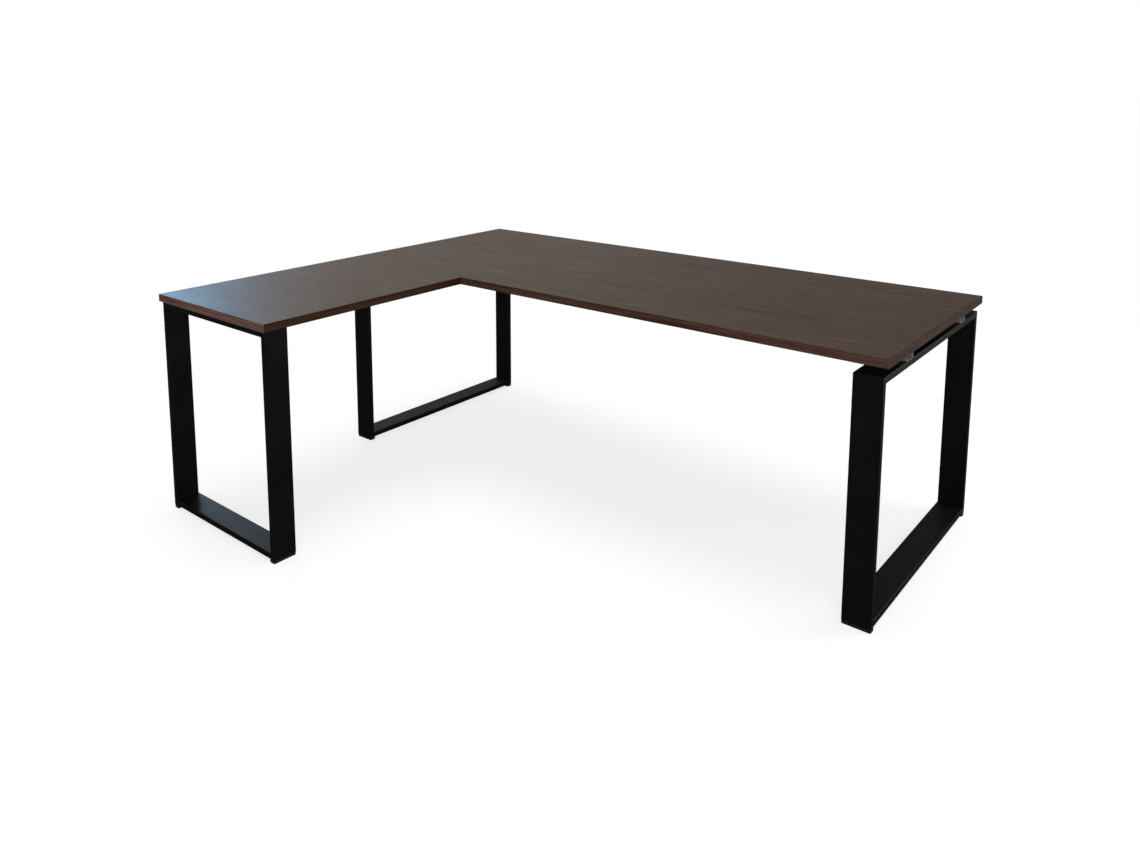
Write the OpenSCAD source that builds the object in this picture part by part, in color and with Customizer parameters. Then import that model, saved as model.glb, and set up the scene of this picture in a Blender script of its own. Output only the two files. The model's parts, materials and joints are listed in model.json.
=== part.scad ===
// Corner desk: one L-shaped board carried by three closed loop frames of flat steel tube.
// Units are millimetres. The origin is on the floor, below the centre of the desk's outline.
// +X runs along the long back edge, +Y points to the back and +Z is up.

/* [Desktop] */
// Length of the desk along its back edge
top_length = 2100; // [1800:10:2400]
// Depth from the back edge to the end of the return
overall_depth = 1700; // [1500:10:2000]
// Depth of the long main wing
main_depth = 880; // [800:10:950]
// Width of the return wing
return_width = 600; // [560:10:700]
// Height of the working surface above the floor
desk_height = 750; // [700:5:780]
// Thickness of the board
top_thickness = 25; // [22:1:30]
// Thickness of the edge bands
band_thickness = 2; // [1:0.5:3]

/* [Loop frames] */
// Wide face of the flat tube
tube_width = 80; // [70:5:100]
// Narrow face of the flat tube
tube_thickness = 20; // [20:1:30]
// Wall of the flat tube
tube_wall = 2; // [1.5:0.5:3]
// How far the board overhangs the side frames at the back
back_overhang = 10; // [0:5:60]
// How far the board overhangs the right frame at the side
right_overhang = 10; // [0:5:30]
// How far the return frame stands in from the board's edges
return_frame_inset = 8; // [4:1:20]

/* [Beams] */
// Width of the beams
beam_width = 50; // [40:5:60]
// Height of the beams, which is the gap between side frames and board
beam_height = 25; // [25:1:40]
// Wall of the beams
beam_wall = 2; // [1.5:0.5:3]
// Distance between the centre lines of the two main beams
main_beam_spacing = 500; // [400:10:540]
// Distance from the back edge to the centre line of the far main beam
far_beam_setback = 180; // [160:10:200]
// Distance between the centre lines of the two return beams
return_beam_spacing = 300; // [260:10:340]

/* [Feet] */
// Thickness of the glide pads under the posts
pad_thickness = 10; // [8:1:15]
// Length of a pad along its rail
pad_length = 25; // [20:1:40]

/* [Fixings] */
// Diameter of the bolts that hold the beams on the side frames
frame_bolt_d = 8; // [6:1:8]
// Diameter of the machine screws in brackets and pads
small_screw_d = 5; // [4:0.5:5]
// Diameter of the wood screws that hold the board
wood_screw_d = 4.5; // [4:0.5:5]
// How far the wood screws go into the board
wood_screw_bite = 16; // [12:1:18]

/* [Hidden] */
$fn = 48;

// Outline of the board
x_left = -top_length / 2;
x_right = top_length / 2;
x_inner = x_left + return_width;
y_back = overall_depth / 2;
y_front = y_back - main_depth;
y_end = -overall_depth / 2;
board_bottom = desk_height - top_thickness;

// Clearance round a bolt or a machine screw, and round a wood screw
bolt_clearance = 0.2;
pilot_clearance = 0.1;
// Extra length that lets a cut pass right through
overrun = 1;

// Side frames stand in the YZ plane, the return frame in the XZ plane
side_loop_width = main_depth - back_overhang;
side_loop_top = board_bottom - beam_height;
side_loop_y = y_front;
middle_frame_x = x_left;
frames_right = x_right - right_overhang;
right_frame_x = frames_right - tube_width;
return_loop_width = return_width - 2 * return_frame_inset;
return_loop_top = board_bottom;
return_loop_x = x_left + return_frame_inset;
return_loop_y = y_end + return_frame_inset;
return_rail_inner_y = return_loop_y + tube_width;

// Beams lie between the side frames and the board
beam_bottom = board_bottom - beam_height;
far_beam_y = y_back - far_beam_setback;
near_beam_y = far_beam_y - main_beam_spacing;
return_beam_mid_x = x_left + return_width / 2;
left_beam_x = return_beam_mid_x - return_beam_spacing / 2;
right_beam_x = return_beam_mid_x + return_beam_spacing / 2;
near_beam_face_y = near_beam_y - beam_width / 2;
return_beam_length = near_beam_face_y - return_rail_inner_y;

// Bolts that join beams and side frames
frame_bolt_pitch = tube_width / 2;
frame_bolt_head_d = 1.75 * frame_bolt_d;
frame_bolt_head_h = 0.55 * frame_bolt_d;
frame_nut_h = 0.8 * frame_bolt_d;
frame_nut_d = 1.88 * frame_bolt_d;
frame_washer_d = 2 * frame_bolt_d;
frame_washer_h = 1.6;
frame_bolt_tail = 2;
frame_bolt_length = frame_washer_h + tube_thickness + beam_wall + frame_nut_h + frame_bolt_tail;
bolt_columns = [-frame_bolt_pitch / 2, frame_bolt_pitch / 2];
frame_bolt_xs = [for (x = [middle_frame_x, right_frame_x], c = bolt_columns) x + tube_width / 2 + c];
frame_bolt_points = [for (x = frame_bolt_xs, y = [near_beam_y, far_beam_y]) [x, y]];

// Angle brackets at the ends of the return beams
bracket_leg = 32;
bracket_sheet = 3;
bracket_height = tube_thickness;
bracket_hole_offset = 20;
bracket_mid_z = board_bottom - bracket_height / 2;

// Machine screws of brackets and pads
small_head_d = 1.8 * small_screw_d;
small_head_h = 0.6 * small_screw_d;
bracket_screw_length = bracket_sheet + tube_wall + 4;
pad_recess_d = small_head_d + 1;
pad_recess_depth = pad_thickness / 2;
pad_screw_length = pad_thickness - pad_recess_depth + tube_wall + 4;
pad_inset = pad_length / 2;

// Wood screws that hold the board
wood_head_d = 2 * wood_screw_d;
wood_head_h = 0.6 * wood_screw_d;
access_hole_d = wood_head_d + 4;
main_screw_xs = [for (i = [-2:2]) i * top_length / 5];
return_screw_ys = [for (i = [1:3]) return_rail_inner_y + i * return_beam_length / 4];
rail_screw_xs = [for (i = [-1:1]) return_beam_mid_x + i * return_loop_width / 3];
rail_screw_y = return_loop_y + tube_width / 2;
main_screw_points = [for (x = main_screw_xs, y = [near_beam_y, far_beam_y]) [x, y]];
return_screw_points = [for (x = [left_beam_x, right_beam_x], y = return_screw_ys) [x, y]];
rail_screw_points = [for (x = rail_screw_xs) [x, rail_screw_y]];

// Pad centres: two under each loop
side_pad_ys = [side_loop_y + pad_inset, side_loop_y + side_loop_width - pad_inset];
return_pad_xs = [return_loop_x + pad_inset, return_loop_x + return_loop_width - pad_inset];
return_pad_y = return_loop_y + tube_width / 2;
middle_pad_points = [for (y = side_pad_ys) [middle_frame_x + tube_width / 2, y]];
right_pad_points = [for (y = side_pad_ys) [right_frame_x + tube_width / 2, y]];
return_pad_points = [for (x = return_pad_xs) [x, return_pad_y]];

board_colour = [0.27, 0.22, 0.19];
band_colour = [0.30, 0.22, 0.18];
steel_colour = [0.07, 0.07, 0.07];
beam_colour = [0.50, 0.51, 0.51];
bracket_colour = [0.62, 0.63, 0.64];
pad_colour = [0.04, 0.04, 0.04];
fixing_colour = [0.70, 0.70, 0.70];

// A box between two corners
module box(low, high) {
  translate(low)
    cube(high - low);
}

// Upright holes or pins at a list of [x, y] points
module rods(points, d, z0, z1) {
  for (p = points)
    translate([p[0], p[1], z0])
      cylinder(d = d, h = z1 - z0);
}

// ---- Board and edge bands ----

module desktop_board() {
  b = band_thickness;
  outline = [
    [x_left + b, y_back - b],
    [x_left + b, y_end + b],
    [x_inner - b, y_end + b],
    [x_inner - b, y_front + b],
    [x_right - b, y_front + b],
    [x_right - b, y_back - b],
  ];
  pilot_d = wood_screw_d + pilot_clearance;
  pilot_top = board_bottom + wood_screw_bite + pilot_clearance;
  pilot_points = concat(main_screw_points, return_screw_points, rail_screw_points);
  color(board_colour)
    difference() {
      translate([0, 0, board_bottom])
        linear_extrude(height = top_thickness)
          polygon(outline);
      rods(pilot_points, pilot_d, board_bottom - overrun, pilot_top);
    }
}

// A strip of edge band over the full thickness of the board
module band(x0, y0, x1, y1) {
  color(band_colour)
    box([x0, y0, board_bottom], [x1, y1, desk_height]);
}

module edge_band_back() {
  band(x_left, y_back - band_thickness, x_right, y_back);
}

module edge_band_left() {
  band(x_left, y_end + band_thickness, x_left + band_thickness, y_back - band_thickness);
}

module edge_band_right() {
  band(x_right - band_thickness, y_front + band_thickness, x_right, y_back - band_thickness);
}

module edge_band_main_front() {
  band(x_inner - band_thickness, y_front, x_right, y_front + band_thickness);
}

module edge_band_return_inner() {
  band(x_inner - band_thickness, y_end + band_thickness, x_inner, y_front);
}

module edge_band_return_end() {
  band(x_left, y_end, x_inner, y_end + band_thickness);
}

// ---- Loop frames of mitred flat tube ----

// Trapezium between two depths below the outer face, its ends on the mitre lines
function mitred_outline(length, d0, d1, extra) = [
  [d0 - extra, d0],
  [length - d0 + extra, d0],
  [length - d1 + extra, d1],
  [d1 - extra, d1],
];

// A flat tube along +X with mitred open ends. Its outer face is y = 0 and it is tube_width deep.
module mitred_tube(length) {
  difference() {
    linear_extrude(height = tube_width)
      polygon(mitred_outline(length, 0, tube_thickness, 0));
    translate([0, 0, tube_wall])
      linear_extrude(height = tube_width - 2 * tube_wall)
        polygon(mitred_outline(length, tube_wall, tube_thickness - tube_wall, overrun));
  }
}

// The four tubes of a loop that stands in the XZ plane, its lower outer corner at x = 0
module loop_bottom_rail(width) {
  translate([0, tube_width, pad_thickness])
    rotate([90, 0, 0])
      mitred_tube(width);
}

module loop_top_rail(width, top) {
  translate([0, 0, top])
    mirror([0, 0, 1])
      translate([0, tube_width, 0])
        rotate([90, 0, 0])
          mitred_tube(width);
}

module loop_first_post(top) {
  translate([0, 0, pad_thickness])
    rotate([0, -90, -90])
      mitred_tube(top - pad_thickness);
}

module loop_second_post(width, top) {
  translate([width, 0, 0])
    mirror([1, 0, 0])
      loop_first_post(top);
}

// Turns a loop into the YZ plane, with x as the left face of its tubes
module place_side_loop(x) {
  translate([x + tube_width, side_loop_y, 0])
    rotate([0, 0, 90])
      children();
}

module place_return_loop() {
  translate([return_loop_x, return_loop_y, 0])
    children();
}

// Holes for the bolts that come up through a side frame into the beams
module frame_bolt_holes() {
  rods(
    frame_bolt_points,
    frame_bolt_d + 2 * bolt_clearance,
    side_loop_top - tube_thickness - overrun,
    beam_bottom + beam_wall + overrun
  );
}

// Holes for the pad screws in the lower wall of a bottom rail
module pad_screw_holes(points) {
  rods(points, small_screw_d + 2 * bolt_clearance, -overrun, pad_thickness + tube_wall + overrun);
}

module side_top_rail(x) {
  color(steel_colour)
    difference() {
      place_side_loop(x)
        loop_top_rail(side_loop_width, side_loop_top);
      frame_bolt_holes();
    }
}

module side_bottom_rail(x, pad_points) {
  color(steel_colour)
    difference() {
      place_side_loop(x)
        loop_bottom_rail(side_loop_width);
      pad_screw_holes(pad_points);
    }
}

module side_near_post(x) {
  color(steel_colour)
    place_side_loop(x)
      loop_first_post(side_loop_top);
}

module side_far_post(x) {
  color(steel_colour)
    place_side_loop(x)
      loop_second_post(side_loop_width, side_loop_top);
}

module right_frame_top_rail() {
  side_top_rail(right_frame_x);
}

module right_frame_bottom_rail() {
  side_bottom_rail(right_frame_x, right_pad_points);
}

module right_frame_near_post() {
  side_near_post(right_frame_x);
}

module right_frame_far_post() {
  side_far_post(right_frame_x);
}

module middle_frame_top_rail() {
  side_top_rail(middle_frame_x);
}

module middle_frame_bottom_rail() {
  side_bottom_rail(middle_frame_x, middle_pad_points);
}

module middle_frame_near_post() {
  side_near_post(middle_frame_x);
}

module middle_frame_far_post() {
  side_far_post(middle_frame_x);
}

module return_frame_top_rail() {
  color(steel_colour)
    difference() {
      place_return_loop()
        loop_top_rail(return_loop_width, return_loop_top);
      wood_screw_holes(rail_screw_points, board_bottom - tube_thickness);
      bracket_holes_at_rail();
    }
}

module return_frame_bottom_rail() {
  color(steel_colour)
    difference() {
      place_return_loop()
        loop_bottom_rail(return_loop_width);
      pad_screw_holes(return_pad_points);
    }
}

module return_frame_left_post() {
  color(steel_colour)
    place_return_loop()
      loop_first_post(return_loop_top);
}

module return_frame_right_post() {
  color(steel_colour)
    place_return_loop()
      loop_second_post(return_loop_width, return_loop_top);
}

// ---- Beams ----

// Holes of the wood screws: a wide access hole below and a close one in the upper wall
module wood_screw_holes(points, tube_bottom) {
  middle_z = (tube_bottom + board_bottom) / 2;
  rods(points, access_hole_d, tube_bottom - overrun, middle_z);
  rods(points, wood_screw_d + 2 * bolt_clearance, middle_z, board_bottom + overrun);
}

module main_beam(y) {
  half = beam_width / 2;
  color(beam_colour)
    difference() {
      box([x_left, y - half, beam_bottom], [frames_right, y + half, board_bottom]);
      box(
        [x_left - overrun, y - half + beam_wall, beam_bottom + beam_wall],
        [frames_right + overrun, y + half - beam_wall, board_bottom - beam_wall]
      );
      frame_bolt_holes();
      wood_screw_holes(main_screw_points, beam_bottom);
      bracket_holes_at_near_beam();
    }
}

module main_beam_near() {
  main_beam(near_beam_y);
}

module main_beam_far() {
  main_beam(far_beam_y);
}

module return_beam(x) {
  half = beam_width / 2;
  color(beam_colour)
    difference() {
      box([x - half, return_rail_inner_y, beam_bottom], [x + half, near_beam_face_y, board_bottom]);
      box(
        [x - half + beam_wall, return_rail_inner_y - overrun, beam_bottom + beam_wall],
        [x + half - beam_wall, near_beam_face_y + overrun, board_bottom - beam_wall]
      );
      wood_screw_holes(return_screw_points, beam_bottom);
      bracket_holes_at_beam(x);
    }
}

module return_beam_left() {
  return_beam(left_beam_x);
}

module return_beam_right() {
  return_beam(right_beam_x);
}

// ---- Angle brackets ----

// Bracket with its corner at the origin, one leg along +X and one along +Y
module angle_bracket() {
  hole_d = small_screw_d + 2 * bolt_clearance;
  color(bracket_colour)
    difference() {
      translate([0, 0, board_bottom - bracket_height])
        linear_extrude(height = bracket_height)
          polygon([
            [0, 0],
            [bracket_leg, 0],
            [bracket_leg, bracket_sheet],
            [bracket_sheet, bracket_sheet],
            [bracket_sheet, bracket_leg],
            [0, bracket_leg],
          ]);
      translate([bracket_hole_offset, -overrun, bracket_mid_z])
        rotate([-90, 0, 0])
          cylinder(d = hole_d, h = bracket_sheet + 2 * overrun);
      translate([-overrun, bracket_hole_offset, bracket_mid_z])
        rotate([0, 90, 0])
          cylinder(d = hole_d, h = bracket_sheet + 2 * overrun);
    }
}

// Puts a bracket or its screws on one side of a return beam.
// side is -1 or 1 in x. root is true at the main beam and false at the return frame.
module place_bracket(beam_x, side, root) {
  end_y = root ? near_beam_face_y : return_rail_inner_y;
  translate([beam_x + side * beam_width / 2, end_y, 0])
    mirror([side < 0 ? 1 : 0, 0, 0])
      mirror([0, root ? 1 : 0, 0])
        children();
}

module bracket_left_beam_end_outer() {
  place_bracket(left_beam_x, -1, false)
    angle_bracket();
}

module bracket_left_beam_end_inner() {
  place_bracket(left_beam_x, 1, false)
    angle_bracket();
}

module bracket_left_beam_root_outer() {
  place_bracket(left_beam_x, -1, true)
    angle_bracket();
}

module bracket_left_beam_root_inner() {
  place_bracket(left_beam_x, 1, true)
    angle_bracket();
}

module bracket_right_beam_end_outer() {
  place_bracket(right_beam_x, 1, false)
    angle_bracket();
}

module bracket_right_beam_end_inner() {
  place_bracket(right_beam_x, -1, false)
    angle_bracket();
}

module bracket_right_beam_root_outer() {
  place_bracket(right_beam_x, 1, true)
    angle_bracket();
}

module bracket_right_beam_root_inner() {
  place_bracket(right_beam_x, -1, true)
    angle_bracket();
}

// Holes for the bracket screws in the return frame's rail, the near main beam and a return beam
module bracket_holes_across(end_y) {
  for (x = [left_beam_x, right_beam_x], side = [-1, 1])
    translate([x + side * (beam_width / 2 + bracket_hole_offset), end_y - 3 * tube_wall, bracket_mid_z])
      rotate([-90, 0, 0])
        cylinder(d = small_screw_d + 2 * bolt_clearance, h = 6 * tube_wall);
}

module bracket_holes_at_rail() {
  bracket_holes_across(return_rail_inner_y);
}

module bracket_holes_at_near_beam() {
  bracket_holes_across(near_beam_face_y);
}

module bracket_holes_at_beam(beam_x) {
  ys = [return_rail_inner_y + bracket_hole_offset, near_beam_face_y - bracket_hole_offset];
  for (y = ys)
    translate([beam_x - beam_width / 2 - overrun, y, bracket_mid_z])
      rotate([0, 90, 0])
        cylinder(d = small_screw_d + 2 * bolt_clearance, h = beam_width + 2 * overrun);
}

// ---- Glide pads ----

// size_x and size_y are the footprint, p is the centre
module glide_pad(p, size_x, size_y) {
  color(pad_colour)
    difference() {
      box(
        [p[0] - size_x / 2, p[1] - size_y / 2, 0],
        [p[0] + size_x / 2, p[1] + size_y / 2, pad_thickness]
      );
      pad_screw_holes([p]);
      rods([p], pad_recess_d, -overrun, pad_recess_depth);
    }
}

module glide_pad_right_near() {
  glide_pad(right_pad_points[0], tube_width, pad_length);
}

module glide_pad_right_far() {
  glide_pad(right_pad_points[1], tube_width, pad_length);
}

module glide_pad_middle_near() {
  glide_pad(middle_pad_points[0], tube_width, pad_length);
}

module glide_pad_middle_far() {
  glide_pad(middle_pad_points[1], tube_width, pad_length);
}

module glide_pad_return_left() {
  glide_pad(return_pad_points[0], pad_length, tube_width);
}

module glide_pad_return_right() {
  glide_pad(return_pad_points[1], pad_length, tube_width);
}

// ---- Fixings ----

// A screw or bolt that points up, its head below z = 0
module fastener(head_d, head_h, shank_d, shank_length) {
  translate([0, 0, -head_h])
    cylinder(d = head_d, h = head_h);
  cylinder(d = shank_d, h = shank_length);
}

module frame_bolts() {
  head_z = side_loop_top - tube_thickness - frame_washer_h;
  color(fixing_colour)
    for (p = frame_bolt_points)
      translate([p[0], p[1], head_z])
        fastener(frame_bolt_head_d, frame_bolt_head_h, frame_bolt_d, frame_bolt_length);
}

module frame_washers() {
  washer_z = side_loop_top - tube_thickness - frame_washer_h;
  hole_d = frame_bolt_d + 2 * bolt_clearance;
  color(fixing_colour)
    difference() {
      rods(frame_bolt_points, frame_washer_d, washer_z, washer_z + frame_washer_h);
      rods(frame_bolt_points, hole_d, washer_z - overrun, washer_z + frame_washer_h + overrun);
    }
}

module frame_nuts() {
  nut_z = beam_bottom + beam_wall;
  color(fixing_colour)
    for (p = frame_bolt_points)
      translate([p[0], p[1], nut_z])
        difference() {
          cylinder(d = frame_nut_d, h = frame_nut_h, $fn = 6);
          translate([0, 0, -overrun])
            cylinder(d = frame_bolt_d + bolt_clearance, h = frame_nut_h + 2 * overrun);
        }
}

// Wood screws whose heads rest inside a tube on its upper wall
module wood_screws(points, upper_wall) {
  for (p = points)
    translate([p[0], p[1], board_bottom - upper_wall])
      fastener(wood_head_d, wood_head_h, wood_screw_d, upper_wall + wood_screw_bite);
}

module desktop_wood_screws() {
  color(fixing_colour) {
    wood_screws(concat(main_screw_points, return_screw_points), beam_wall);
    wood_screws(rail_screw_points, tube_wall);
  }
}

// The two screws of one bracket, pointing into the faces behind its legs
module bracket_screw_pair() {
  translate([bracket_hole_offset, bracket_sheet, bracket_mid_z])
    rotate([90, 0, 0])
      fastener(small_head_d, small_head_h, small_screw_d, bracket_screw_length);
  translate([bracket_sheet, bracket_hole_offset, bracket_mid_z])
    rotate([0, -90, 0])
      fastener(small_head_d, small_head_h, small_screw_d, bracket_screw_length);
}

module bracket_screws() {
  color(fixing_colour)
    for (x = [left_beam_x, right_beam_x], side = [-1, 1], root = [false, true])
      place_bracket(x, side, root)
        bracket_screw_pair();
}

module glide_pad_screws() {
  color(fixing_colour)
    for (p = concat(right_pad_points, middle_pad_points, return_pad_points))
      translate([p[0], p[1], pad_recess_depth])
        fastener(small_head_d, small_head_h, small_screw_d, pad_screw_length);
}

// ---- Nodes ----

desktop_board();
edge_band_back();
edge_band_left();
edge_band_right();
edge_band_main_front();
edge_band_return_inner();
edge_band_return_end();
right_frame_top_rail();
right_frame_bottom_rail();
right_frame_near_post();
right_frame_far_post();
middle_frame_top_rail();
middle_frame_bottom_rail();
middle_frame_near_post();
middle_frame_far_post();
return_frame_top_rail();
return_frame_bottom_rail();
return_frame_left_post();
return_frame_right_post();
main_beam_near();
main_beam_far();
return_beam_left();
return_beam_right();
bracket_left_beam_end_outer();
bracket_left_beam_end_inner();
bracket_left_beam_root_outer();
bracket_left_beam_root_inner();
bracket_right_beam_end_outer();
bracket_right_beam_end_inner();
bracket_right_beam_root_outer();
bracket_right_beam_root_inner();
glide_pad_right_near();
glide_pad_right_far();
glide_pad_middle_near();
glide_pad_middle_far();
glide_pad_return_left();
glide_pad_return_right();
frame_bolts();
frame_washers();
frame_nuts();
desktop_wood_screws();
bracket_screws();
glide_pad_screws();
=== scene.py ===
"""The looks of the corner desk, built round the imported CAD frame. All sizes are in metres."""

import json
import math

import bmesh
import bpy
from mathutils import Matrix, Vector

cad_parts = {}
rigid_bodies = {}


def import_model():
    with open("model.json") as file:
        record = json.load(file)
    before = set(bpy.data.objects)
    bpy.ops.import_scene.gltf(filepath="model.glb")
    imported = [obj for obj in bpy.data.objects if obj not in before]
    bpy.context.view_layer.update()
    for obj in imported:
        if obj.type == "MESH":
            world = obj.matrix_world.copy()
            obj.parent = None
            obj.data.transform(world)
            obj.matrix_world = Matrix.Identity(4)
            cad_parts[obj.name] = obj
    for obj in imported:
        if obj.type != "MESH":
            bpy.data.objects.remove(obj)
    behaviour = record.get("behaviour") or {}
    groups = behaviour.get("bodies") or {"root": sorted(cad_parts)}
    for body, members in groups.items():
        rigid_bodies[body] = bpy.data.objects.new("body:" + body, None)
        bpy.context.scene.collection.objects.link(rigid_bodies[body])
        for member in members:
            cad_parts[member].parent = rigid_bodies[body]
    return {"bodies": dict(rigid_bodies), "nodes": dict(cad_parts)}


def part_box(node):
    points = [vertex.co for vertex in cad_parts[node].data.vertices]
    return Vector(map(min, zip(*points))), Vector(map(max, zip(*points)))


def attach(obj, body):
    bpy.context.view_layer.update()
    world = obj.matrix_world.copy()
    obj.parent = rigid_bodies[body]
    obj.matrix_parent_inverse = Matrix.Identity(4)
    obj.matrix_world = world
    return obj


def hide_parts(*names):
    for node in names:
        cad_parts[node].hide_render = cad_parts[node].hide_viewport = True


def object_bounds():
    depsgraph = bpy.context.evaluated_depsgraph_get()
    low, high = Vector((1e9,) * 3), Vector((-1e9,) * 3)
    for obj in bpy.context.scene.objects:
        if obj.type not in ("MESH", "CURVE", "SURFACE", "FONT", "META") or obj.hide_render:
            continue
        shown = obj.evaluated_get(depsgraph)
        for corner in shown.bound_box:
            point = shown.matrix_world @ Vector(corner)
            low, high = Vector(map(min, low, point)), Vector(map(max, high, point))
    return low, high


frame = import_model()
CAD_BOUNDS = [list(corner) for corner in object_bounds()]
ROOT = next(iter(frame["bodies"]))
MM = 0.001
X, Y, Z = 0, 1, 2

# ---- Sizes that the boxes of the CAD nodes don't tell ----
TUBE_WALL = 2 * MM
TUBE_RADIUS = 2.4 * MM
BEAM_RADIUS = 2.0 * MM
LEAST_INNER_RADIUS = 0.5 * MM
CORNER_STEPS = 5
BAND_EDGE_RADIUS = 0.9 * MM
BAND_LINE = 1.4 * MM  # how far a dark line reaches in from a band's edge
BOARD_EDGE_CHAMFER = 0.12 * MM
PAD_CORNER_RADIUS = 5 * MM
PAD_EDGE_CHAMFER = 1.2 * MM
PAD_RECESS_D = 10 * MM
PAD_RECESS_DEPTH = 5 * MM
BRACKET_SHEET = 3 * MM
BRACKET_BEND_RADIUS = 4 * MM
BRACKET_EDGE_RADIUS = 0.4 * MM
ACCESS_HOLE_D = 13 * MM
BOLT_KEY = 5 * MM
BRACKET_SCREW_D = 5 * MM
BRACKET_SCREW_HEAD_D = 9 * MM
BRACKET_SCREW_HEAD_HEIGHT = 3 * MM
BOLT_PITCH = 1.25 * MM
WOOD_SCREW_PITCH = 1.8 * MM
METAL_SCREW_PITCH = 0.8 * MM
THREAD_DEPTH = 0.55  # of the pitch
WASHER_HOLE_RADIUS = 4.2 * MM
WASHER_EDGE_CHAMFER = 0.25 * MM

# ---- Mesh quality ----
SMOOTH_ANGLE = math.radians(35)
SHARP_ANGLE = math.radians(60)
LATHE_STEPS = 40
HOLE_STEPS = 32
SHANK_STEPS = 24
TINY = 1e-6

# ---- Camera ----
CAMERA_POSITION = (1.7818, -2.3122, 1.4573)
CAMERA_YAW = 40.70
CAMERA_PITCH = 7.98
CAMERA_ROLL = -0.27
CAMERA_LENS = 28.71
CAMERA_SHIFT = (0.0465, -0.1952)


# ======================================================================
# Mesh helpers
# ======================================================================

def mesh_from(name, bm):
    """A mesh with what the bmesh holds. The bmesh is used up."""
    mesh = bpy.data.meshes.new(name)
    bm.to_mesh(mesh)
    bm.free()
    return mesh


def add_object(name, data):
    obj = bpy.data.objects.new(name, data)
    bpy.context.collection.objects.link(obj)
    return obj


def finish_mesh(name, bm, materials, replaced, weighted=True):
    """Turns a bmesh into a shown piece that stands for CAD nodes and rides on the desk."""
    bmesh.ops.recalc_face_normals(bm, faces=bm.faces)
    mesh = mesh_from(name, bm)
    mesh.shade_smooth()
    mesh.set_sharp_from_angle(angle=SMOOTH_ANGLE)
    obj = add_object(name, mesh)
    for material in materials:
        mesh.materials.append(material)
    if weighted:
        modifier = obj.modifiers.new("flat_faces_stay_flat", "WEIGHTED_NORMAL")
        modifier.keep_sharp = True
        modifier.weight = 80
    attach(obj, ROOT)
    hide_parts(*replaced)


def joined(*parts):
    """One bmesh with all the parts, which are used up."""
    result = bmesh.new()
    for part in parts:
        mesh = mesh_from("join", part)
        result.from_mesh(mesh)
        bpy.data.meshes.remove(mesh)
    return result


def repeated(source, matrices):
    """One bmesh with a copy of the source at each matrix."""
    mesh = mesh_from("repeat", source)
    result = bmesh.new()
    for matrix in matrices:
        before = len(result.verts)
        result.from_mesh(mesh)
        result.verts.ensure_lookup_table()
        bmesh.ops.transform(result, matrix=matrix, verts=result.verts[before:])
    bpy.data.meshes.remove(mesh)
    return result


def cut_holes(bm, cutters):
    """The bmesh with closed cutter bmeshes taken away from it."""
    target = add_object("cut_target", mesh_from("cut_target", bm))
    tool = add_object("cut_tool", mesh_from("cut_tool", joined(*cutters)))
    modifier = target.modifiers.new("cut", "BOOLEAN")
    modifier.operation = "DIFFERENCE"
    modifier.solver = "EXACT"
    modifier.object = tool
    bpy.context.view_layer.update()
    evaluated = target.evaluated_get(bpy.context.evaluated_depsgraph_get())
    result = bmesh.new()
    result.from_mesh(evaluated.to_mesh())
    evaluated.to_mesh_clear()
    for obj in (target, tool):
        mesh = obj.data
        bpy.data.objects.remove(obj)
        bpy.data.meshes.remove(mesh)
    return result


def bridge(bm, first, second):
    """A band of faces between two rings of vertices."""
    count = len(first)
    for i in range(count):
        j = (i + 1) % count
        bm.faces.new((first[i], first[j], second[j], second[i]))


def circle(bm, radius, z, steps):
    angles = [2 * math.pi * i / steps for i in range(steps)]
    return [bm.verts.new((radius * math.cos(a), radius * math.sin(a), z)) for a in angles]


def lathe(profile, steps=LATHE_STEPS):
    """A closed solid of revolution about Z. profile is (radius, z) from the lower to the upper pole."""
    bm = bmesh.new()
    rings = [circle(bm, r, z, steps) if r > 0 else [bm.verts.new((0, 0, z))] for r, z in profile]
    for low, high in zip(rings, rings[1:]):
        if len(low) == len(high):
            bridge(bm, low, high)
            continue
        for i in range(steps):
            j = (i + 1) % steps
            if len(low) == 1:
                bm.faces.new((low[0], high[j], high[i]))
            else:
                bm.faces.new((low[i], low[j], high[0]))
    return bm


def upright_wall(outline, z0, z1):
    """A wall round the outline, open above and below, and its two rings of vertices."""
    bm = bmesh.new()
    lower = [bm.verts.new((x, y, z0)) for x, y in outline]
    upper = [bm.verts.new((x, y, z1)) for x, y in outline]
    bridge(bm, lower, upper)
    return bm, lower, upper


def rod(diameter, z0, z1, steps=LATHE_STEPS):
    radius = diameter / 2
    return lathe([(0, z0), (radius, z0), (radius, z1), (0, z1)], steps)


def box_bmesh(low, high):
    bm = bmesh.new()
    size = Vector(high) - Vector(low)
    middle = (Vector(high) + Vector(low)) / 2
    bmesh.ops.create_cube(bm, size=1, matrix=Matrix.Translation(middle) @ Matrix.Diagonal((*size, 1)))
    return bm


def moved(bm, matrix):
    bmesh.ops.transform(bm, matrix=matrix, verts=bm.verts)
    return bm


def soften(bm, edges, width, segments=1):
    """Bevels the edges: a chamfer with one segment, a rounding with more."""
    bmesh.ops.bevel(
        bm, geom=edges, offset=width, offset_type="OFFSET",
        segments=segments, profile=0.5, affect="EDGES", clamp_overlap=True,
    )


def is_level(edge):
    return abs(edge.verts[0].co.z - edge.verts[1].co.z) < TINY


def is_sharp(edge):
    return edge.calc_face_angle(0) > SHARP_ANGLE


def middle_of(box):
    return tuple((a + b) / 2 for a, b in zip(*box))


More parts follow.
